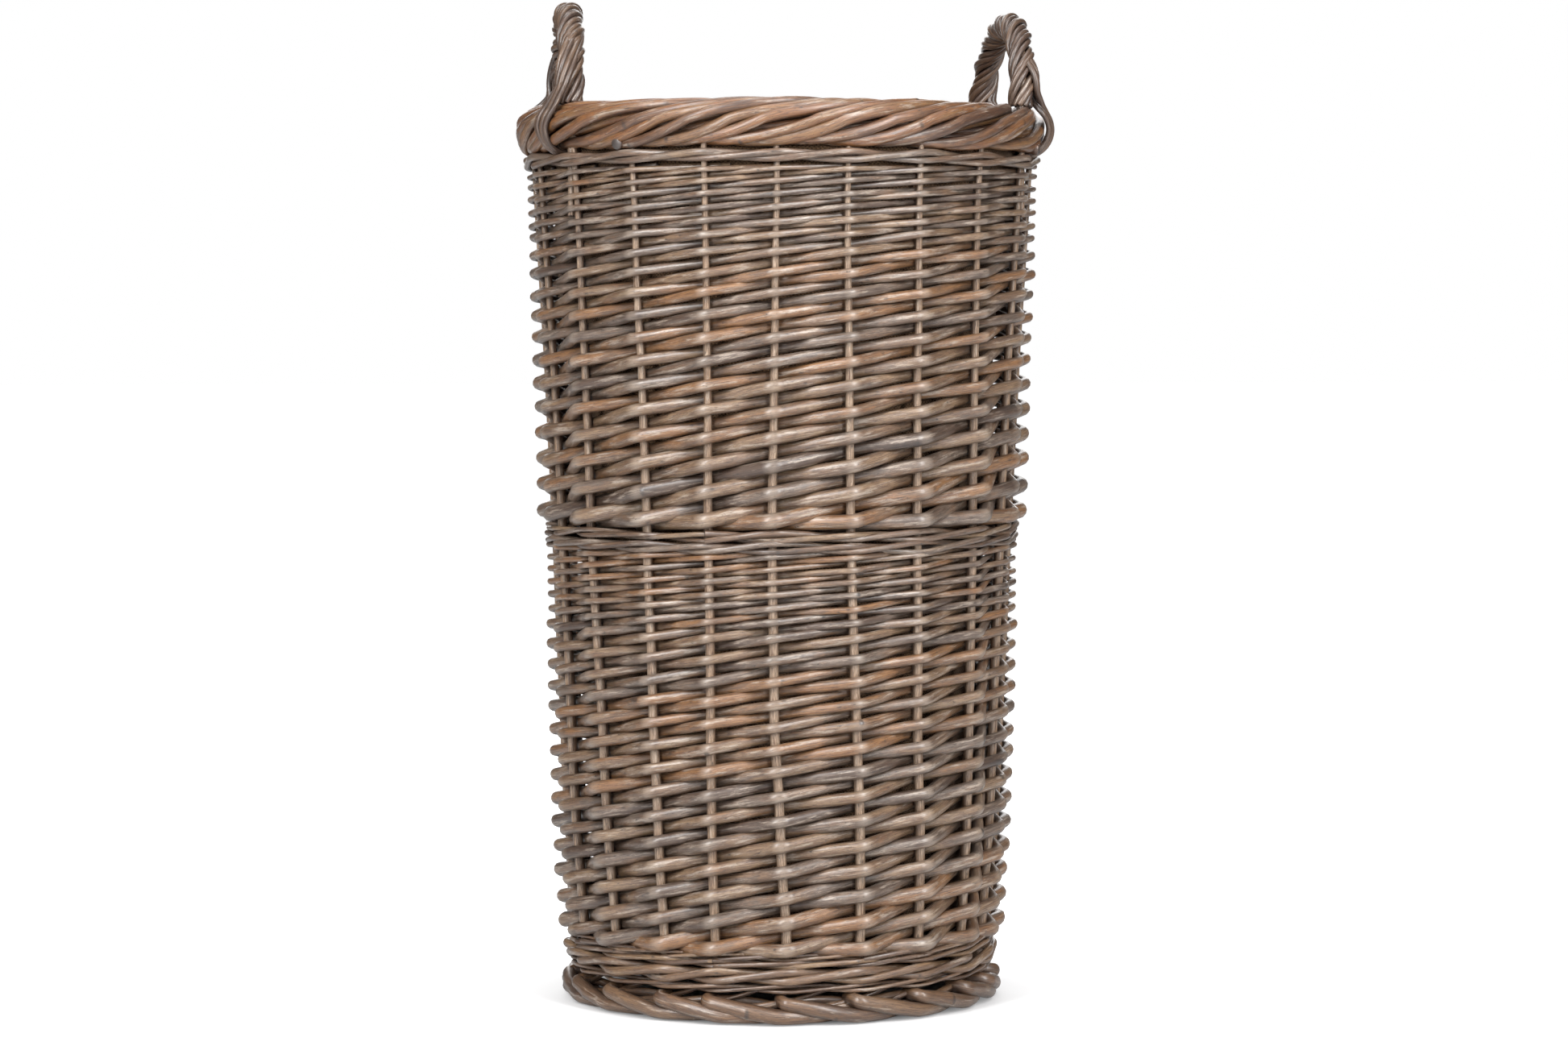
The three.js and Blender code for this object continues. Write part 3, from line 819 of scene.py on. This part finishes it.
class Handle:
    """A handle's own shape: how far its top leans in, its second leg stands in, and its top is pressed down.

    stem gives where on the arch, in points of 60, the lashing's rods leave the rope. wind is how far they
    have turned round the leg there and at its foot, in degrees from sideways towards outwards. drift is how
    far they stand from the leg, in degrees round the basket, at five places on their way round the border.
    """

    def __init__(self, place, half_turn, lean, twist, drop, stem, wind, drift, seed):
        self.place, self.half_turn, self.seed = place, half_turn, seed
        self.lean, self.twist, self.drop = lean, twist, drop
        self.stem, self.wind, self.drift = stem, wind, drift

    def arch(self, count):
        """The centre line of the handle as it would stand at +X, from its +Y leg over to its -Y leg."""
        turn = np.linspace(0, math.pi, count)
        height = HANDLE_HIGH - ROPE_RADIUS - ARCH_LOW - self.drop
        inwards = self.lean * np.sin(turn) + self.twist * 0.5 * (1 - np.cos(turn))
        return np.stack([
            HANDLE_RADIUS * math.cos(HANDLE_HALF_ANGLE) - inwards,
            HANDLE_RADIUS * math.sin(HANDLE_HALF_ANGLE) * np.cos(turn),
            ARCH_LOW + height * np.sin(turn),
        ], axis=1)

    def bow(self):
        """The same line carried on down through the border, to lie beside a stake inside the weave."""
        legs = []
        for side in (1, -1):
            z = np.array([586.0, 600.0, 625.0, 640.0])
            legs.append(on_cylinder(side * HANDLE_HALF_ANGLE + 0 * z, HANDLE_RADIUS, z))
        corners = np.concatenate([legs[0], self.arch(80), legs[1][::-1]])
        return resample(rounded_path(corners, 3.0, 3), 3.0)

    def placed(self, path):
        return path * np.array([-1, -1, 1]) if self.half_turn else path


def build_handle(handle):
    """Two rods for the bow, the rope round them, and a lashing at each leg."""
    place, seed = handle.place, handle.seed
    bow = handle.bow()
    aside = np.cross(frames_along(bow)[0], np.array([1.0, 0.0, 0.0]))
    aside /= np.linalg.norm(aside, axis=1)[:, None]
    for k, shift in enumerate((-2.9, 2.9)):
        path = handle.placed(bow + aside * shift)
        piece = rod(f"{place}_bow_rod_{k + 1}", path, 2.5, [seed, k], lumps=0.02, buds=80)
        finish_piece(piece, STAKE, [f"{place}_handle_bow"])
    build_rope(handle)
    for number, side in ((1, -1), (2, 1)):
        build_lashing(handle, number, side)


ROPE_PITCH = 72.0
BUNDLES = 3
RODS_IN_BUNDLE = 3


def build_rope(handle):
    """Three bundles of three thin rods, twisted round the bow from one leg to the other."""
    centre = resample(handle.arch(80), 1.6)
    normals, binormals = frames_along(centre)[1:]
    along = distances(centre)
    rng = np.random.default_rng([handle.seed, 7])
    swell = 1 + 0.14 * np.sin(math.pi * along / along[-1]) ** 2
    for bundle in range(BUNDLES):
        for k in range(RODS_IN_BUNDLE):
            size = rng.uniform(4.2, 5.2)
            phase = (bundle + (k - 1) * 0.29) / BUNDLES
            turn = TAU * (along / ROPE_PITCH + phase) + 0.10 * smooth_noise(rng, along, 50, 140)
            lift = swell * (7.7 - 1.2 * abs(k - 1) + 0.5 * smooth_noise(rng, along, 40, 90))
            across = (np.cos(turn) * lift)[:, None] * normals
            aside = (np.sin(turn) * lift)[:, None] * binormals
            number = bundle * RODS_IN_BUNDLE + k + 1
            name = f"{handle.place}_rope_rod_{number}"
            piece = rod(name, handle.placed(centre + across + aside), size / 2, [handle.seed, 19 + number],
                        sides=10, lumps=0.07, buds=60, anchors=handle.placed(centre))
            finish_piece(piece, HANDLE, [f"{handle.place}_handle_rope"])


# How far each of a lashing's rods stands off the border.
LASHING_GAPS = (0.5, 1.7, 0.8, 0.4)


def build_lashing(handle, number, side):
    """Four rod ends wind off the rope, cross the border's outer face, and pass under it and up inside it."""
    first, last = handle.stem
    arch = handle.arch(60)
    leg = arch[first:last][::-1] if side > 0 else arch[::-1][first:last][::-1]
    outward = leg * np.array([1, 1, 0])
    outward /= np.linalg.norm(outward, axis=1)[:, None]
    away = np.array([0, 1.0, 0]) * side
    share = np.linspace(0, 1, 60)
    turn = np.radians(40 - share * 254)
    drift_places = np.radians([-40, 0, 60, 120, 214])
    drifted = np.interp(-turn, drift_places, np.radians(handle.drift))
    anchors = np.concatenate([leg, section_circle(BORDER_RADIUS, BORDER_MIDDLE)])
    for k, gap in enumerate(LASHING_GAPS):
        rng = np.random.default_rng([handle.seed + 1, number, k])
        size = rng.uniform(4.0, 4.7)
        spot = k - 1.5
        off = size / 2 + gap
        radius = BORDER_RADIUS + (BORDER_HALF_WIDTH + off) * np.cos(turn)
        z = BORDER_MIDDLE + (BORDER_HALF_HEIGHT + off) * np.sin(turn)
        spread = math.radians(1.4) * spot * (0.6 + 0.4 * np.cos(TAU * share))
        face = on_cylinder(side * (HANDLE_HALF_ANGLE - drifted + spread), radius, z)
        wind = np.radians(np.linspace(*handle.wind, len(leg)) - 25 * spot * side)[:, None]
        reach = np.interp(np.arange(len(leg)), [0, 0.4 * len(leg), len(leg)], [6.0, 10.4, 11.6])[:, None]
        stem = leg + reach * (np.cos(wind) * away + np.sin(wind) * outward)
        path = resample(rounded_path(np.concatenate([stem, face[2:]]), 6.0, 3), 2.5)
        piece = rod(f"{handle.place}_lashing_{number}_rod_{k + 1}", handle.placed(path), size / 2,
                    [handle.seed + 1, number, 30 + k], sides=10, wobble=0.4, lumps=0.06, buds=60,
                    anchors=handle.placed(anchors))
        finish_piece(piece, HANDLE, [f"{handle.place}_lashing_{number}"])


# ---- lining ----
LINING_BOTTOM = 135.0
LINING_CORNER = 9.0
LINING_LEAN = 0.0625
LINING_COLUMNS = 240
FLOOR_ROWS, CORNER_ROWS, WALL_ROWS = 24, 6, 110
# The mouth flares by 8.5 mm, starting at this height and done after this much more.
FLARE, FLARE_START, FLARE_RISE = 8.5, 560, 55
# Turns an angle into a distance along the cloth.
CLOTH_RADIUS = 150.0


def lining_profile(low, high):
    """The bag's radius and height, out across the floor, round the corner and up the wall."""
    profile = []
    flat = LINING_BOTTOM - LINING_CORNER
    for k in range(1, FLOOR_ROWS + 1):
        profile.append((k / FLOOR_ROWS * flat, low))
    for k in range(1, CORNER_ROWS + 1):
        turn = 0.5 * math.pi * k / CORNER_ROWS
        profile.append((flat + LINING_CORNER * math.sin(turn), low + LINING_CORNER * (1 - math.cos(turn))))
    for k in range(1, WALL_ROWS + 1):
        z = low + LINING_CORNER + (high - low - LINING_CORNER) * k / WALL_ROWS
        profile.append((LINING_BOTTOM + LINING_LEAN * (z - low - LINING_CORNER), z))
    return np.array(profile)


def lining_folds(height, angle):
    """Nine waves round the bag, each leaning a little as it rises."""
    rng = np.random.default_rng(71)
    folds = np.zeros((len(height), len(angle)))
    for _ in range(9):
        waves = rng.integers(3, 17)
        slant = rng.uniform(-0.004, 0.004)
        phase = rng.uniform(0, TAU)
        folds += np.sin(waves * angle[None, :] + phase + slant * height[:, None]) / waves**0.5
    return folds


def lining_faces(rows):
    """Quads between neighbouring rows, and a fan round the last vertex, in the middle of the floor."""
    faces = []
    for row in range(rows - 1):
        low, high = row * LINING_COLUMNS, (row + 1) * LINING_COLUMNS
        for column in range(LINING_COLUMNS):
            following = (column + 1) % LINING_COLUMNS
            faces.append((low + column, low + following, high + following, high + column))
    hub = rows * LINING_COLUMNS
    faces += [(hub, (column + 1) % LINING_COLUMNS, column) for column in range(LINING_COLUMNS)]
    return faces


def build_lining():
    """A round-bottomed bag of hessian, one skin, with soft folds that die out at the base and the mouth."""
    low, high = level("hessian_lining", 0) + 0.6, level("hessian_lining", 1) + 8.0
    profile = lining_profile(low, high)
    radius, z = profile[:, :1], profile[:, 1:]
    angle = np.arange(LINING_COLUMNS) * TAU / LINING_COLUMNS
    ease = np.clip((z - low) / 60, 0, 1) * np.clip((high - z) / 40, 0, 1)
    flare = FLARE * np.clip((z - FLARE_START) / FLARE_RISE, 0, 1) ** 1.5
    folded = radius + flare - ease * (2.6 + 0.7 * lining_folds(profile[:, 1] - low, angle))
    points = np.stack([folded * np.cos(angle), folded * np.sin(angle), z + 0 * folded], axis=-1)
    vertices = np.concatenate([points.reshape(-1, 3), [[0, 0, low]]])
    # The cloth's own coordinates: round and up on the wall, straight across on the floor.
    run = distances(profile)
    around = np.repeat(angle[None, :] * CLOTH_RADIUS, len(profile), axis=0)
    upward = np.repeat(run[:, None], LINING_COLUMNS, axis=1)
    cloth = np.stack([around, upward, 0 * around], axis=-1).reshape(-1, 3)
    cloth = np.concatenate([cloth, [[0, 0, 0]]])
    floor = np.arange(FLOOR_ROWS * LINING_COLUMNS)
    cloth[floor] = vertices[floor] * np.array([1, 1, 0])
    piece = write_mesh("hessian_lining_cloth", vertices, lining_faces(len(profile)), {"cloth": cloth})
    finish_piece(piece, hessian_material(), ["hessian_lining"])


# ---- stage, camera and lights ----
# The floor's glow is painted light, and its fade paints a soft shadow: none inside the first radius, part at
# the basket's edge, full at the last.
DARK_RADIUS = 0.135
EDGE_RADIUS = 0.165
GLOW_RADIUS = 0.34


def build_stage():
    """A pale floor that keeps the basket's soft shadow, and away from it glows white for the camera alone: a
    painted glow whose fade paints more soft shadow round the foot and darkness under it.
    """
    bpy.ops.mesh.primitive_plane_add(size=60, location=(0, 0, 0))
    floor = bpy.context.object
    floor.name = "floor"
    nodes = Nodes("floor", roughness=0.7, specular=0.2)
    spot = nodes.add("ShaderNodeTexCoord").outputs["Object"]
    shade = nodes.noise(spot, (3.0, 3.0, 3.0), 2.0)
    reach = nodes.add("ShaderNodeVectorMath", operation="LENGTH")
    nodes.put(spot, reach.inputs[0])
    # Painted light and shadow: the camera-only glow fades out towards the basket, which paints a soft shadow
    # round its foot.
    near = nodes.fit(reach.outputs["Value"], DARK_RADIUS, EDGE_RADIUS, 0.0, 0.4)
    far = nodes.fit(reach.outputs["Value"], EDGE_RADIUS, GLOW_RADIUS, 0.0, 0.6)
    seen = nodes.add("ShaderNodeLightPath").outputs["Is Camera Ray"]
    glow = nodes.math("MULTIPLY", nodes.math("ADD", near, far), seen)
    nodes.shader.inputs["Emission Color"].default_value = (1, 1, 1, 1)
    nodes.put(glow, nodes.shader.inputs["Emission Strength"])
    colour = nodes.mix(shade, (0.60, 0.60, 0.61), (0.62, 0.62, 0.62))
    floor.data.materials.append(nodes.finish(colour, 0.7))


CAMERA_AZIMUTH = -9.0
CAMERA_PITCH = 2.7
CAMERA_DISTANCE = 3.283
CAMERA_HEIGHT = 0.5112
CAMERA_ASIDE = 0.0018
LIT_HEIGHT = 0.35


def build_camera():
    """Almost level, a little above the basket's middle, between the handles and nearly square to them."""
    data = bpy.data.cameras.new("camera")
    data.sensor_width = 36
    data.lens = 99.9
    camera = bpy.data.objects.new("camera", data)
    bpy.context.scene.collection.objects.link(camera)
    azimuth = math.radians(CAMERA_AZIMUTH)
    x = CAMERA_DISTANCE * math.sin(azimuth) + CAMERA_ASIDE
    y = -CAMERA_DISTANCE * math.cos(azimuth)
    camera.location = (x, y, CAMERA_HEIGHT)
    camera.rotation_euler = (math.pi / 2 - math.radians(CAMERA_PITCH), 0, azimuth)
    bpy.context.scene.camera = camera


def softbox(name, azimuth, distance, height, power, width, tall):
    """A light aimed at the basket's middle; the azimuth is in degrees to the right of the camera's own."""
    data = bpy.data.lights.new(name, "AREA")
    data.energy = power
    data.shape = "RECTANGLE"
    data.size, data.size_y = width, tall
    light = bpy.data.objects.new(name, data)
    bpy.context.scene.collection.objects.link(light)
    turn = math.radians(CAMERA_AZIMUTH + azimuth)
    light.location = (distance * math.sin(turn), -distance * math.cos(turn), height)
    aim = Vector((0, 0, LIT_HEIGHT)) - light.location
    light.rotation_euler = aim.to_track_quat("-Z", "Y").to_euler()


def build_lights():
    """Two tall softboxes in front, one to each side of the camera, with weaker ones behind and overhead."""
    softbox("left_softbox", -33, 2.4, 1.75, 74, 0.55, 2.5)
    softbox("right_softbox", 33, 2.4, 1.75, 74, 0.55, 2.5)
    softbox("back_softbox", 180, 2.8, 1.3, 30, 1.8, 2.0)
    softbox("overhead_softbox", 180, 0.35, 2.9, 16, 1.2, 1.2)


def build_world():
    """A white ground for the camera, and a faint even fill for everything else."""
    world = bpy.data.worlds.new("studio")
    bpy.context.scene.world = world
    world.use_nodes = True
    tree = world.node_tree
    background = tree.nodes["Background"]
    background.inputs["Color"].default_value = (1, 1, 1, 1)
    path = tree.nodes.new("ShaderNodeLightPath")
    fill = tree.nodes.new("ShaderNodeMapRange")
    tree.links.new(path.outputs["Is Camera Ray"], fill.inputs["Value"])
    fill.inputs["To Min"].default_value = 0.10
    fill.inputs["To Max"].default_value = 1.0
    tree.links.new(fill.outputs["Result"], background.inputs["Strength"])
    bpy.context.scene.view_settings.view_transform = "Standard"


build_camera()
build_lights()
build_world()
build_stage()
build_stakes()
build_rand("lower", "lower_rand", LOWER_LOW, LOWER_HIGH, 21, (14, 9.9, 7.6), (6, 5.0, 4.4))
build_rand("upper", "upper_rand", UPPER_LOW, UPPER_HIGH, 31, (12, 10.3, 7.1), (6, 5.0, 4.2))
build_wales()
build_rim_border()
build_foot_border()
build_base()
build_handle(Handle("right", False, lean=-6.0, twist=0.0, drop=4.5, stem=(3, 13), wind=(40, 122),
                    drift=[3.4, 6.2, 5.4, 3.2, 1.0], seed=91))
build_handle(Handle("left", True, lean=0.8, twist=10.0, drop=0.0, stem=(3, 23), wind=(-80, 75),
                    drift=[2.0, 3.4, 3.4, 2.6, 1.0], seed=95))
build_lining()
